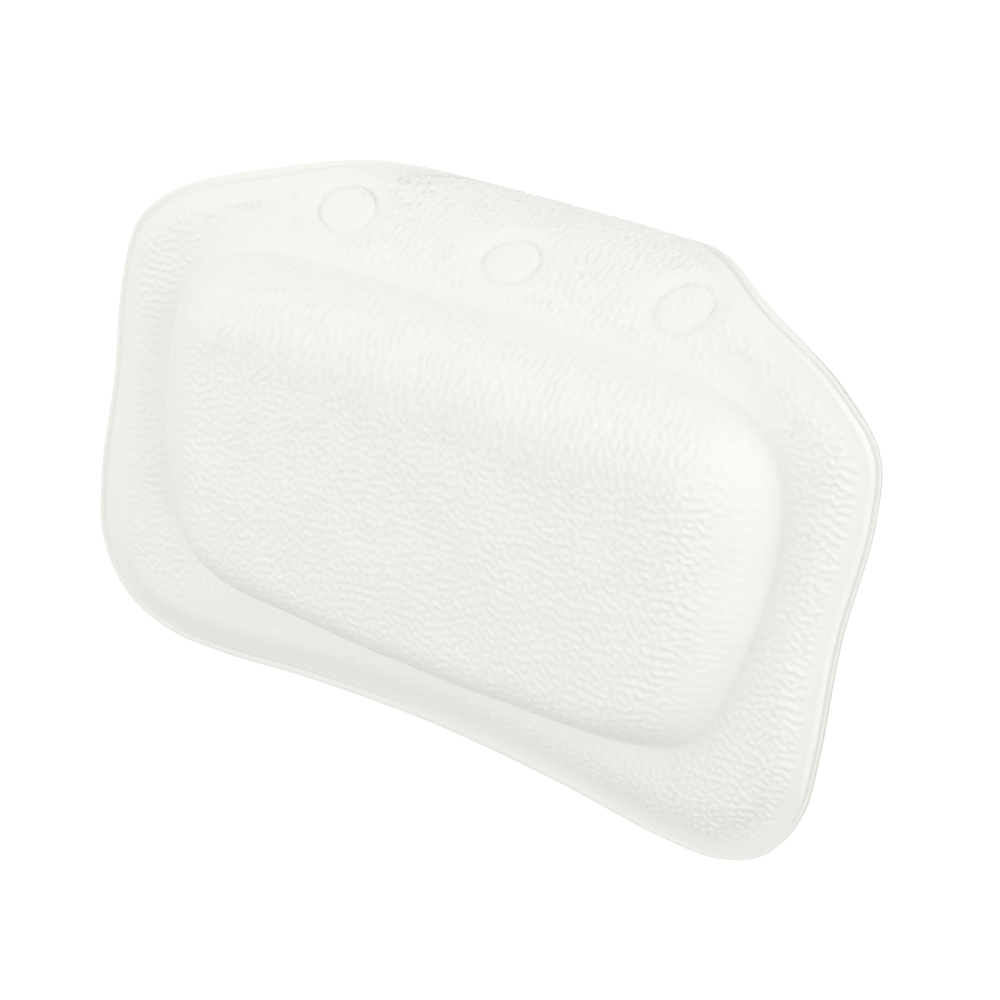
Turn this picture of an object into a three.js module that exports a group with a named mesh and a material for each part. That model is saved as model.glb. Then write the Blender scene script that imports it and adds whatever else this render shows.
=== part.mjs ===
// Bath pillow of soft foamed PVC: a crowned head pad in a puffy flange, bent back at the top,
// where three suction cups behind round weld rings hold it on the rim of a bath.
//
// The pillow is drawn as a flat pattern, x across and s up along the sheet, with its middle at
// the middle of the pad. sheetPoint bends that pattern into space, and every layer is a stretch
// of it between two heights, counted along the sheet's normal from the weld between the covers.
import * as THREE from "three";

// Driving dimensions, in millimetres and degrees
const padHalfWidth = 134;
const padTop = 73;
const padBottom = 74.5;
const padCrown = 18;
const padShoulderWidth = 32;
const sideFlangeReach = 31;
const topFlangeReach = 89;
const bottomFlangeReach = 31.5;
const flangeHalfWidth = padHalfWidth + sideFlangeReach;
const flangeTop = padTop + topFlangeReach;
const flangeBottom = padBottom + bottomFlangeReach;
const flangeThickness = 6;
const frontSkin = 1.2;
const backSkin = 0.8;
const foamThickness = 3.6;
const rimWidth = 3.2;
const gap = 0.3;

// How the pattern is bent: straight under the pad, then an arc that fades out towards the sides
const bendStart = 36;
const bendRadius = 59;
const bendAngle = 95;
const bendFadeInset = 10;
const bendFadeHalfWidth = flangeHalfWidth - bendFadeInset;
const bendFadeInnerPower = 3;
const bendFadeOuterPower = 1.5;
const leastFadeShare = 0.001;
const lowerBendStart = 10;
const lowerBendRadius = 386;
const cornerSweep = 8;
const cornerSweepHalfWidth = 150;
const cornerSweepHeight = 100;

// Weld rings, and the suction cups behind them. Their spacing is a share of the pad's half width,
// and their line lies at a share of the flange's reach above the pad.
const cupSpacingShare = 0.552239;
const cupLineShare = 0.247191;
const cupSpacing = padHalfWidth * cupSpacingShare;
const cupLine = padTop + topFlangeReach * cupLineShare;
const weldRingRadius = 11;
const recessRadius = 14.6;
const domeDrop = 0.8;
const flatRadius = 13;
const flatBlendRadius = 21;
const cupCircleCount = 16;
const neckRadius = 4;
const neckClearance = 0.4;
const buttonRadius = 7;
const buttonFaceRadius = 5.6;
const buttonThickness = 1.4;
const buttonEdgeThickness = 0.8;
const cushionRadius = 9.2;
const cushionSegments = 16;
const bellRadius = 20;
const bellHeight = 11;
const bellTopRadius = 6.7;
const bellShoulderRadius = 7.5;
const bellShoulderDrop = 1.2;
const bellHollowDepth = 7.5;
const bellSegments = 24;
const lipWidth = 1.8;
const lipThickness = 0.9;

// The bell's hollow from the middle out, and its back from the lip in, as shares of the bell's
// radius and of the hollow's depth
const bellHollowShares = [[0, 1], [0.3, 0.93], [0.6, 0.62], [0.82, 0.22]];
const bellBackShares = [[0.84, 0.4], [0.62, 0.85]];

// Where the rows of the surface lie
const padInnerRowShare = 0.45;
const padUpperRowInset = 21;
const padRowInset = 11;
const blockEdgeInset = 4;
const blockEdgeThickness = 1.5;
const blockRiseStart = 6;
const blockRiseEnd = 11.7;
const creaseDepth = 2.8;
const creaseFilletWidth = 6;
const edgeRollWidth = 13;
const edgeShoulderWidth = 6;
const edgeShoulderDrop = 2;
const rowsAroundRim = 48;
const rimReach = 29;
const shoulderReach = 21;
const creaseReach = 24;
const samplesPerRow = 20;
const upperRowShares = [0.7, 0.8, 0.9];
const upperColumns = 9;
const upperColumnStep = 19;
const siteMargin = 0.9;
const siteNudge = 0.00001;
const outerShare = 20;
const normalStep = 0.6;
const crownInnerPower = 2.2;
const crownOuterPower = 1.35;

// Half outlines of the flange and of the pad's crease, from the top of the middle line to its
// bottom, as shares of the half width and of the top or bottom height
const flangeOutlineShares = [
  [0, 1], [0.23, 0.955], [0.44, 0.785], [0.63, 0.642], [0.87, 0.517], [0.974, 0.41],
  [1, 0.26], [0.988, 0], [0.996, -0.415], [0.982, -0.66], [0.91, -0.868], [0.79, -0.975],
  [0.63, -0.995], [0.36, -0.962], [0, -0.94],
];
const padOutlineShares = [
  [0, 1], [0.42, 0.98], [0.7, 0.965], [0.86, 0.887], [0.957, 0.71], [0.997, 0.45], [1, 0.13],
  [0.977, -0.22], [0.9, -0.66], [0.816, -0.838], [0.684, -0.929], [0.42, -0.974], [0, -1],
];

const materials = {
  skin: new THREE.MeshStandardMaterial({ color: 0xf0efea, roughness: 0.55, metalness: 0 }),
  back: new THREE.MeshStandardMaterial({ color: 0xebeae4, roughness: 0.45, metalness: 0 }),
  foam: new THREE.MeshStandardMaterial({ color: 0xf3ead2, roughness: 0.95, metalness: 0 }),
  cup: new THREE.MeshStandardMaterial({ color: 0xdfe6e6, roughness: 0.2, metalness: 0 }),
};

const smooth = (value, low, high) => THREE.MathUtils.smoothstep(value, low, high);

// The bent sheet

function bentPoint(x, s) {
  const fadeBase = Math.max(0, 1 - Math.abs(x / bendFadeHalfWidth) ** bendFadeInnerPower);
  const fade = Math.max(leastFadeShare, fadeBase ** bendFadeOuterPower);
  const curvature = fade / bendRadius;
  const arcLength = bendRadius * THREE.MathUtils.degToRad(bendAngle);
  const alongArc = THREE.MathUtils.clamp(s - bendStart, 0, arcLength);
  const turn = alongArc * curvature;
  const beyond = Math.max(s - bendStart - arcLength, 0);
  const below = Math.max(-s - lowerBendStart, 0);
  const sweep = cornerSweep * (x / cornerSweepHalfWidth) ** 2 * (s / cornerSweepHeight);
  return new THREE.Vector3(
    x,
    (1 - Math.cos(turn)) / curvature + beyond * Math.sin(turn) + below ** 2 / (2 * lowerBendRadius) + sweep,
    Math.min(s, bendStart) + Math.sin(turn) / curvature + beyond * Math.cos(turn),
  );
}

function bentNormal(x, s) {
  const across = bentPoint(x + normalStep, s).sub(bentPoint(x - normalStep, s));
  const along = bentPoint(x, s + normalStep).sub(bentPoint(x, s - normalStep));
  return across.cross(along).normalize();
}

// Each cup's place on the pattern, with the flat spot of the sheet round it
const cups = [["left", -cupSpacing], ["centre", 0], ["right", cupSpacing]].map(([side, x]) => ({
  side,
  x,
  s: cupLine,
  centre: bentPoint(x, cupLine),
  normal: bentNormal(x, cupLine),
}));

function nearestCup(x, s) {
  const distances = cups.map((cup) => Math.hypot(x - cup.x, s - cup.s));
  const least = Math.min(...distances);
  return { cup: cups[distances.indexOf(least)], distance: least };
}

// A point of the pattern at a height over the weld, with the sheet flat round each cup
function sheetPoint(x, s, height) {
  const point = bentPoint(x, s);
  const normal = bentNormal(x, s);
  const { cup, distance } = nearestCup(x, s);
  const flatness = 1 - smooth(distance, flatRadius, flatBlendRadius);
  const rise = cup.centre.clone().sub(point).dot(cup.normal);
  point.addScaledVector(cup.normal, rise * flatness);
  normal.lerp(cup.normal, flatness).normalize();
  return point.addScaledVector(normal, height);
}

// Outlines of the pattern

function closedOutline(shares, halfWidth, top, bottom) {
  const half = shares.map(([across, up]) => [across * halfWidth, up * (up > 0 ? top : bottom)]);
  const mirrored = half.slice(1, -1).reverse().map(([x, s]) => [-x, s]);
  const points = [...half, ...mirrored].map(([x, s]) => new THREE.Vector3(x, s, 0));
  return new THREE.CatmullRomCurve3(points, true, "centripetal");
}

const flangeOutline = closedOutline(flangeOutlineShares, flangeHalfWidth, flangeTop, flangeBottom);
const padOutline = closedOutline(padOutlineShares, padHalfWidth, padTop, padBottom);
const padSamples = padOutline.getSpacedPoints(rowsAroundRim * samplesPerRow).slice(0, -1);

// A loop moved square to itself, outwards where the distance is above zero
function offsetLoop(loop, distance) {
  return loop.map(([x, s], index) => {
    const [beforeX, beforeS] = loop.at(index - 1);
    const [afterX, afterS] = loop[(index + 1) % loop.length];
    const length = Math.hypot(afterX - beforeX, afterS - beforeS);
    const outwards = distance / length;
    return [x - (afterS - beforeS) * outwards, s + (afterX - beforeX) * outwards];
  });
}

// A loop with a further point in each of its stretches that passes within reach of a cup
function closerAtCups(loop, reach) {
  return loop.flatMap(([x, s], index) => {
    const [nextX, nextS] = loop[(index + 1) % loop.length];
    const middle = [(x + nextX) / 2, (s + nextS) / 2];
    return nearestCup(...middle).distance < reach ? [[x, s], middle] : [[x, s]];
  });
}

const rimPoints = flangeOutline.getSpacedPoints(rowsAroundRim).slice(0, -1);
const evenRimLoop = rimPoints.map((point) => [point.x, point.y]);
const rimLoop = closerAtCups(evenRimLoop, rimReach);
const evenCreaseLoop = evenRimLoop.map(([x, s]) => {
  const distance = (point) => Math.hypot(point.x - x, point.y - s);
  const nearest = padSamples.reduce((best, point) => (distance(point) < distance(best) ? point : best));
  return [nearest.x, nearest.y];
});
const creaseLoop = closerAtCups(evenCreaseLoop, creaseReach);

function circleLoop(cup, radius, count) {
  return Array.from({ length: count }, (unused, index) => {
    const angle = (2 * Math.PI * index) / count;
    return [cup.x + radius * Math.sin(angle), cup.s + radius * Math.cos(angle)];
  });
}

function isInside([x, s], loop) {
  let inside = false;
  loop.forEach(([x1, s1], index) => {
    const [x2, s2] = loop.at(index - 1);
    if (s1 > s !== s2 > s && x < ((x2 - x1) * (s - s1)) / (s2 - s1) + x1) inside = !inside;
  });
  return inside;
}

// The sites of the surface: rows inside the pad, along the crease, the fillet and the edge,
// level rows over the upper flange, and circles round each cup
const holeRadius = neckRadius + neckClearance;
const cupCircles = [holeRadius, weldRingRadius, recessRadius];
const edgeLoop = offsetLoop(rimLoop, -edgeRollWidth);
const shoulderLoop = offsetLoop(rimLoop, -edgeShoulderWidth);
const everySecond = (loop) => loop.filter((unused, index) => index % 2 === 0);
const scaled = (loop, share) => loop.map(([x, s]) => [x * share, s * share]);
const rows = [
  scaled(everySecond(everySecond(evenCreaseLoop)), padInnerRowShare),
  offsetLoop(everySecond(evenCreaseLoop), -padShoulderWidth),
  offsetLoop(everySecond(evenCreaseLoop), -padUpperRowInset),
  offsetLoop(evenCreaseLoop, -padRowInset),
  offsetLoop(creaseLoop, -blockEdgeInset),
  creaseLoop,
  offsetLoop(creaseLoop, creaseFilletWidth),
  edgeLoop,
  closerAtCups(shoulderLoop, shoulderReach),
  offsetLoop(rimLoop, -rimWidth),
  rimLoop,
];
const upperSites = upperRowShares.flatMap((share) => Array.from({ length: upperColumns },
  (unused, index) => [(index - (upperColumns - 1) / 2) * upperColumnStep, share * flangeTop]));
const sites = [
  [0, 0],
  ...rows.flat(),
  ...upperSites.filter((site) => isInside(site, offsetLoop(edgeLoop, -rimWidth))),
].filter(([x, s]) => nearestCup(x, s).distance > recessRadius + siteMargin);
cups.forEach((cup) => {
  sites.push([cup.x, cup.s]);
  cupCircles.forEach((radius) => sites.push(...circleLoop(cup, radius, cupCircleCount)));
});

// Triangles over the sites, each with no other site in its circle
function triangulate(points) {
  const reach = outerShare * flangeHalfWidth;
  const nudge = (index) => [Math.sin(index) * siteNudge, Math.cos(index) * siteNudge];
  const nudged = points.map(([x, s], index) => [x + nudge(index)[0], s + nudge(index)[1]]);
  nudged.push([-reach, -reach], [reach, -reach], [0, reach]);
  let triangles = [makeTriangle(points.length, points.length + 1, points.length + 2)];

  function makeTriangle(a, b, c) {
    const [ax, ay] = nudged[a];
    const [bx, by] = nudged[b].map((value, axis) => value - nudged[a][axis]);
    const [cx, cy] = nudged[c].map((value, axis) => value - nudged[a][axis]);
    const cross = 2 * (bx * cy - by * cx);
    const ux = (cy * (bx * bx + by * by) - by * (cx * cx + cy * cy)) / cross;
    const uy = (bx * (cx * cx + cy * cy) - cx * (bx * bx + by * by)) / cross;
    const corners = cross > 0 ? [a, b, c] : [a, c, b];
    return { corners, x: ax + ux, y: ay + uy, radius: Math.hypot(ux, uy) };
  }

  points.forEach((unused, added) => {
    const [x, y] = nudged[added];
    const hit = triangles.filter((each) => Math.hypot(each.x - x, each.y - y) < each.radius);
    const edges = hit.flatMap(({ corners: [a, b, c] }) => [[a, b], [b, c], [c, a]]);
    const names = new Set(edges.map(([a, b]) => `${a} ${b}`));
    triangles = triangles.filter((each) => !hit.includes(each));
    const outer = edges.filter(([a, b]) => !names.has(`${b} ${a}`));
    outer.forEach(([a, b]) => triangles.push(makeTriangle(a, b, added)));
  });
  const isKept = (corners) => corners.every((corner) => corner < points.length);
  return triangles.map((each) => each.corners).filter(isKept);
}

function middleOf(corners) {
  const [[x1, s1], [x2, s2], [x3, s3]] = corners.map((corner) => sites[corner]);
  return [(x1 + x2 + x3) / 3, (s1 + s2 + s3) / 3];
}

const allTriangles = triangulate(sites).map((corners) => ({ corners, middle: middleOf(corners) }));
const patternTriangles = allTriangles.filter(({ middle }) => isInside(middle, rimLoop));

// A closed layer of the pattern between two heights, over the triangles that keep chooses
function layer(keep, topHeight, bottomHeight) {
  const chosen = patternTriangles.filter(({ middle }) => keep(middle)).map(({ corners }) => corners);
  const used = [...new Set(chosen.flat())];
  const place = new Map(used.map((corner, index) => [corner, index]));
  const heights = used.map((corner) => [topHeight(...sites[corner]), bottomHeight(...sites[corner])]);
  const top = used.map((corner, index) => sheetPoint(...sites[corner], heights[index][0]));
  const bottom = used.map((corner, index) => sheetPoint(...sites[corner], heights[index][1]));
  const under = (corner) => place.get(corner) + used.length;
  const edges = chosen.flatMap(([a, b, c]) => [[a, b], [b, c], [c, a]]);
  const names = new Set(edges.map(([a, b]) => `${a} ${b}`));
  const border = edges.filter(([a, b]) => !names.has(`${b} ${a}`));
  const indices = [
    ...chosen.flatMap((corners) => corners.map((corner) => place.get(corner))),
    ...chosen.flatMap(([a, b, c]) => [under(a), under(c), under(b)]),
    ...border.flatMap(([a, b]) => [place.get(b), place.get(a), under(a), place.get(b), under(a), under(b)]),
  ];
  const geometry = new THREE.BufferGeometry().setFromPoints([...top, ...bottom]);
  geometry.setIndex(indices);
  geometry.computeVertexNormals();
  return geometry;
}

// Heights of the pattern's layers over the weld

const rimHeight = gap + frontSkin;

function distanceTo(loop, x, s) {
  const gaps = loop.map(([x1, s1], index) => {
    const [x2, s2] = loop.at(index - 1);
    const along = ((x - x1) * (x2 - x1) + (s - s1) * (s2 - s1)) / ((x2 - x1) ** 2 + (s2 - s1) ** 2);
    const held = THREE.MathUtils.clamp(along, 0, 1);
    return Math.hypot(x - x1 - held * (x2 - x1), s - s1 - held * (s2 - s1));
  });
  return Math.min(...gaps);
}

// The distance from the crease, above zero inside the pad
const insidePad = (x, s) => distanceTo(creaseLoop, x, s) * (isInside([x, s], creaseLoop) ? 1 : -1);

// The front cover's face: the pad's crown, the crease round it, the flange and its rolled edge
function openFrontHeight(x, s) {
  const inwards = insidePad(x, s);
  const shoulder = THREE.MathUtils.clamp(inwards / padShoulderWidth, 0, 1);
  const crown = padCrown * (1 - (1 - shoulder) ** crownInnerPower) ** crownOuterPower;
  const crease = creaseDepth * (1 - smooth(Math.abs(inwards), 0, creaseFilletWidth));
  const inset = distanceTo(rimLoop, x, s);
  const roll = edgeShoulderDrop * (1 - smooth(inset, edgeShoulderWidth, edgeRollWidth));
  const fall = 1 - smooth(inset, rimWidth, edgeShoulderWidth);
  const puffy = flangeThickness + crown - crease - roll;
  return THREE.MathUtils.lerp(puffy, rimHeight, fall);
}

function frontHeight(x, s) {
  const { distance } = nearestCup(x, s);
  if (distance > recessRadius) return openFrontHeight(x, s);
  if (distance > weldRingRadius) {
    const lift = smooth(distance, weldRingRadius, recessRadius);
    return THREE.MathUtils.lerp(rimHeight, openFrontHeight(x, s), lift);
  }
  const domeRise = flangeThickness - domeDrop - rimHeight;
  return rimHeight + domeRise * (1 - (distance / weldRingRadius) ** 2);
}

// The front cover's inner face lies on the weld along the rim and along each weld ring
const skinUnderside = (x, s) => Math.max(gap, frontHeight(x, s) - frontSkin);
const foamTop = (x, s) => skinUnderside(x, s) - gap;

// The foam block has a thin edge, over which the foam layer comes down to the back cover
const blockEdgeTop = gap + blockEdgeThickness;

const blockEdgeLoop = offsetLoop(creaseLoop, -blockEdgeInset);
const isOverBlock = (site) => isInside(site, offsetLoop(blockEdgeLoop, blockEdgeInset / 2));

function foamUnderside(x, s) {
  if (!isOverBlock([x, s])) return gap;
  const lift = smooth(insidePad(x, s), blockRiseStart, blockRiseEnd);
  return THREE.MathUtils.lerp(blockEdgeTop + gap, foamTop(x, s) - foamThickness, lift);
}

const blockTop = (x, s) => foamUnderside(x, s) - gap;

// Which part of the pattern each layer covers
const outsideCircles = (radius) => (middle) =>
  cups.every((cup) => !isInside(middle, circleLoop(cup, radius, cupCircleCount)));
const inFoamLayer = (middle) => isInside(middle, shoulderLoop) && outsideCircles(recessRadius)(middle);
const inPadBlock = (middle) => isInside(middle, blockEdgeLoop);

// Suction cups, turned about their own axis, which runs along +Y before they are placed

function turned(profile, segments) {
  const points = profile.map(([radius, height]) => new THREE.Vector2(radius, height));
  return new THREE.LatheGeometry(points, segments);
}

const bellTop = -backSkin - gap;
const lipPlane = bellTop - bellHeight;

function suctionCup() {
  const onBell = ([across, up]) => [bellRadius * across, lipPlane + bellHollowDepth * up];
  const buttonTop = gap + buttonThickness;
  return turned([
    ...bellHollowShares.map(onBell),
    [bellRadius - lipWidth, lipPlane],
    [bellRadius, lipPlane],
    [bellRadius, lipPlane + lipThickness],
    ...bellBackShares.map(onBell),
    [bellShoulderRadius, bellTop - bellShoulderDrop],
    [bellTopRadius, bellTop],
    [neckRadius, bellTop],
    [neckRadius, gap],
    [buttonRadius, gap],
    [buttonRadius, gap + buttonEdgeThickness],
    [buttonFaceRadius, buttonTop],
    [0, buttonTop],
  ], bellSegments);
}

// The foam disc that the weld ring cuts off, lying over the cup's button. Its top runs under
// the flats of the dome, which fall from the circle over the hole to the weld ring.
function cupCushion() {
  const flatShare = Math.cos(Math.PI / cupCircleCount);
  const overButton = gap + buttonThickness + gap;
  const domeTop = foamTop(0, cupLine);
  const shoulderTop = foamTop(holeRadius, cupLine);
  const edgeTop = THREE.MathUtils.mapLinear(cushionRadius, holeRadius, weldRingRadius, shoulderTop, 0);
  return turned([
    [0, overButton],
    [buttonFaceRadius + gap, overButton],
    [buttonRadius + gap, gap + buttonEdgeThickness + gap],
    [buttonRadius + gap, gap],
    [cushionRadius * flatShare, gap],
    [cushionRadius * flatShare, edgeTop],
    [holeRadius * flatShare, shoulderTop],
    [0, domeTop],
  ], cushionSegments);
}

// The assembly

const pillow = new THREE.Group();

function addNode(name, geometry, material) {
  const mesh = new THREE.Mesh(geometry, material);
  mesh.name = name;
  pillow.add(mesh);
  return mesh;
}

function addOnCup(name, geometry, material, cup) {
  const mesh = addNode(name, geometry, material);
  mesh.position.copy(cup.centre);
  mesh.quaternion.setFromUnitVectors(new THREE.Vector3(0, 1, 0), cup.normal);
}

addNode("front_cover", layer(() => true, frontHeight, skinUnderside), materials.skin);
addNode("foam_layer", layer(inFoamLayer, foamTop, foamUnderside), materials.foam);
addNode("pad_foam", layer(inPadBlock, blockTop, () => gap), materials.foam);
addNode("back_cover", layer(outsideCircles(holeRadius), () => 0, () => -backSkin), materials.back);
cups.forEach((cup) => {
  addOnCup(`cup_cushion_${cup.side}`, cupCushion(), materials.foam, cup);
  addOnCup(`suction_cup_${cup.side}`, suctionCup(), materials.cup, cup);
});

// The part stands with the centre cup's axis upright and its lip on the rim of the bath at the origin
const [, centreCup] = cups;
const lean = Math.atan2(centreCup.normal.y, centreCup.normal.z);
pillow.rotation.x = lean;
const seat = centreCup.centre.clone().addScaledVector(centreCup.normal, lipPlane);
pillow.position.copy(seat.applyEuler(pillow.rotation).negate());
pillow.updateMatrixWorld(true);

export default pillow;
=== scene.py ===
"""Bath pillow: foamed vinyl skin over cushion foam, with three clear suction cups."""
import math

import bmesh
import bpy
import numpy as np
from mathutils import Matrix, Vector


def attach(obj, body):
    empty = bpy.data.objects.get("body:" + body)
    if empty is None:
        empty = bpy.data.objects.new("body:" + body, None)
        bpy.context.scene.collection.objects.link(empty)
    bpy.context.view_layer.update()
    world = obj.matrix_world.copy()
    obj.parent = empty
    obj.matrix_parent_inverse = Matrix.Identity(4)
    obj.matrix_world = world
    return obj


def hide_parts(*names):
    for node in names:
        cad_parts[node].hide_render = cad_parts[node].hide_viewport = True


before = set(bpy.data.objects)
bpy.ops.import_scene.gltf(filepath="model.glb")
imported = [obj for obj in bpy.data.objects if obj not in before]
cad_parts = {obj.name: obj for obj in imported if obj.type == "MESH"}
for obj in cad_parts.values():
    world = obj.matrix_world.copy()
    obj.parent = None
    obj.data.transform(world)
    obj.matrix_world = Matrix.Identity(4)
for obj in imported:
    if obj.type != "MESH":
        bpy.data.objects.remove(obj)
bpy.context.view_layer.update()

# Every size here is in millimetres, as in the part's source. make_piece turns them to metres.
METRES = 0.001

FLANGE_HALF_WIDTH = 165
FLANGE_TOP = 162
FLANGE_BOTTOM = 106
PAD_HALF_WIDTH = 134
PAD_TOP = 73
PAD_BOTTOM = 74.5
PAD_CROWN = 18
PAD_SHOULDER_WIDTH = 32
FLANGE_THICKNESS = 6
FRONT_SKIN = 1.2
BACK_SKIN = 0.8
FOAM_THICKNESS = 3.6
GAP = 0.3
RIM_WIDTH = 3.2

BEND_START = 36
BEND_RADIUS = 59
BEND_ANGLE = math.radians(95)
BEND_FADE_HALF_WIDTH = 155
BEND_FADE_POWERS = (3, 1.5)
LEAST_BEND = 0.001
LOWER_BEND_START = 10
LOWER_BEND_RADIUS = 386
CORNER_SWEEP = 8
CORNER_SWEEP_HALF_WIDTH = 150
CORNER_SWEEP_HEIGHT = 100

CUP_SPACING = 74
CUP_LINE = 95
WELD_RING_RADIUS = 10.9
FOAM_HOLE_RADIUS = 14.6
FLAT_RADIUS = 13
FLAT_BLEND_RADIUS = 21
HOLE_RADIUS = 4.4
LIP_PLANE = -12.1

FLANGE_OUTLINE = [
    (0, 1), (0.23, 0.955), (0.44, 0.785), (0.63, 0.642), (0.87, 0.517), (0.974, 0.41),
    (1, 0.26), (0.988, 0), (0.996, -0.415), (0.982, -0.66), (0.91, -0.868), (0.79, -0.975),
    (0.63, -0.995), (0.36, -0.962), (0, -0.94),
]
PAD_OUTLINE = [
    (0, 1), (0.42, 0.98), (0.7, 0.965), (0.86, 0.887), (0.957, 0.71), (0.997, 0.45), (1, 0.13),
    (0.977, -0.22), (0.9, -0.66), (0.816, -0.838), (0.684, -0.929), (0.42, -0.974), (0, -1),
]

# The cover's mesh is fine enough for its grain, which has a pitch of about 3 mm
FINE_RINGS = 240
FINE_PER_COARSE = 4
COARSE_RINGS = FINE_RINGS // FINE_PER_COARSE


def smoothstep(value, low, high):
    """From 0 at low to 1 at high, which may be the smaller of the two."""
    share = np.clip((value - low) / (high - low), 0, 1)
    return share * share * (3 - 2 * share)


def bell_curve(value, width):
    return np.exp(-(value / width) ** 2)


# The bent sheet: x runs across the flat pattern and s up along it, from the middle of the pad

def bent_point(x, s):
    inner_power, outer_power = BEND_FADE_POWERS
    fade = np.maximum(0, 1 - np.abs(x / BEND_FADE_HALF_WIDTH) ** inner_power) ** outer_power
    curvature = np.maximum(LEAST_BEND, fade) / BEND_RADIUS
    arc = BEND_RADIUS * BEND_ANGLE
    turn = np.clip(s - BEND_START, 0, arc) * curvature
    beyond = np.maximum(s - BEND_START - arc, 0)
    below = np.maximum(-s - LOWER_BEND_START, 0)
    sweep = CORNER_SWEEP * (x / CORNER_SWEEP_HALF_WIDTH) ** 2 * (s / CORNER_SWEEP_HEIGHT)
    back = (1 - np.cos(turn)) / curvature + beyond * np.sin(turn)
    up = np.minimum(s, BEND_START) + np.sin(turn) / curvature + beyond * np.cos(turn)
    return np.stack([x + 0 * s, back + below ** 2 / (2 * LOWER_BEND_RADIUS) + sweep, up], -1)


def unit(vectors):
    return vectors / np.linalg.norm(vectors, axis=-1, keepdims=True)


def bent_normal(x, s, step=0.6):
    across = bent_point(x + step, s) - bent_point(x - step, s)
    along = bent_point(x, s + step) - bent_point(x, s - step)
    return unit(np.cross(across, along))


CUPS = {}
for side, cup_x in (("left", -CUP_SPACING), ("centre", 0), ("right", CUP_SPACING)):
    at_cup = np.array(float(cup_x)), np.array(float(CUP_LINE))
    CUPS[side] = {"x": cup_x, "centre": bent_point(*at_cup), "normal": bent_normal(*at_cup)}


def cup_distance(x, s):
    return np.min([np.hypot(x - cup["x"], s - CUP_LINE) for cup in CUPS.values()], axis=0)


# The pillow stands with its centre cup's axis upright and that cup's lip at the origin
lean = math.atan2(CUPS["centre"]["normal"][1], CUPS["centre"]["normal"][2])
STAND = np.array([
    [1, 0, 0], [0, math.cos(lean), -math.sin(lean)], [0, math.sin(lean), math.cos(lean)]])
SEAT = STAND @ (CUPS["centre"]["centre"] + LIP_PLANE * CUPS["centre"]["normal"])


def sheet_point(x, s, height):
    """A point of the sheet in the part's frame, with the sheet flat round each cup."""
    point, normal = bent_point(x, s), bent_normal(x, s)
    for cup in CUPS.values():
        distance = np.hypot(x - cup["x"], s - CUP_LINE)
        flatness = 1 - smoothstep(distance, FLAT_RADIUS, FLAT_BLEND_RADIUS)
        rise = (cup["centre"] - point) @ cup["normal"]
        point = point + (rise * flatness)[..., None] * cup["normal"]
        normal = unit(normal * (1 - flatness)[..., None] + cup["normal"] * flatness[..., None])
    return (point + normal * height[..., None]) @ STAND.T - SEAT


# Outlines of the pattern, as loops that run anticlockwise from the lower right corner. Each
# quarter of a loop's points lies between two of its four corners.
QUARTERS = (0, 0.25, 0.5, 0.75, 1)
CORNER_SHARES = (0.164, 0.33, 0.67, 0.836, 1.164)
POINTS_PER_SPAN = 60


def smooth_loop(shares, half_width, top, bottom, count):
    """The smooth closed curve through a right half's points and their mirror images."""
    half = [(across * half_width, up * (top if up > 0 else bottom)) for across, up in shares]
    corners = np.array(half + [(-x, s) for x, s in half[-2:0:-1]])[::-1]
    before, after, beyond = (np.roll(corners, shift, axis=0) for shift in (1, -1, -2))
    lengths = [np.linalg.norm(b - a, axis=1, keepdims=True) ** 0.5
               for a, b in ((before, corners), (corners, after), (after, beyond))]
    first, middle, last = lengths
    onward = (after - corners) / middle
    leave = ((corners - before) / first - (after - before) / (first + middle) + onward) * middle
    arrive = (onward - (beyond - corners) / (middle + last) + (beyond - after) / last) * middle
    share = np.linspace(0, 1, POINTS_PER_SPAN, endpoint=False)[None, :, None]
    one, two = corners[:, None], after[:, None]
    leave, arrive = leave[:, None], arrive[:, None]
    curve = (one + leave * share + (3 * (two - one) - 2 * leave - arrive) * share ** 2
             + (2 * (one - two) + leave + arrive) * share ** 3).reshape(-1, 2)
    bottom = int(np.argmin(np.where(curve[:, 1] < 0, np.abs(curve[:, 0]), np.inf)))
    curve = np.roll(curve, -bottom, axis=0)
    closed = np.vstack([curve, curve[:1]])
    along = np.concatenate([[0], np.cumsum(np.linalg.norm(np.diff(closed, axis=0), axis=1))])
    wanted = np.interp(np.arange(count) / count, QUARTERS, CORNER_SHARES) % 1 * along[-1]
    return np.stack([np.interp(wanted, along, closed[:, axis]) for axis in (0, 1)], -1)


def inset_loop(loop, inset):
    """The loop moved inwards, square to itself."""
    tangent = unit(np.roll(loop, -1, axis=0) - np.roll(loop, 1, axis=0))
    return loop + inset * np.stack([-tangent[:, 1], tangent[:, 0]], -1)


def loop_radius(loop):
    """A function that gives a loop's radius in a point's direction from the pattern's middle."""
    angle = np.arctan2(loop[:, 1], loop[:, 0])
    order = np.argsort(angle)
    angle, radius = angle[order], np.hypot(loop[:, 0], loop[:, 1])[order]
    return lambda x, s: np.interp(np.arctan2(s, x), angle, radius, period=2 * math.pi)


def on_grid(values, x_low, s_low, pitch):
    """A function that reads a grid of values between its points."""
    def read(x, s):
        # A little inside the last cell, so that it has a far side
        column = np.clip((x - x_low) / pitch, 0, values.shape[0] - 1.001)
        row = np.clip((s - s_low) / pitch, 0, values.shape[1] - 1.001)
        i, j = column.astype(int), row.astype(int)
        u, v = column - i, row - j
        return ((values[i, j] * (1 - u) + values[i + 1, j] * u) * (1 - v)
                + (values[i, j + 1] * (1 - u) + values[i + 1, j + 1] * u) * v)
    return read


GRID_X, GRID_S = (-180, 180), (-125, 180)


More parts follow.
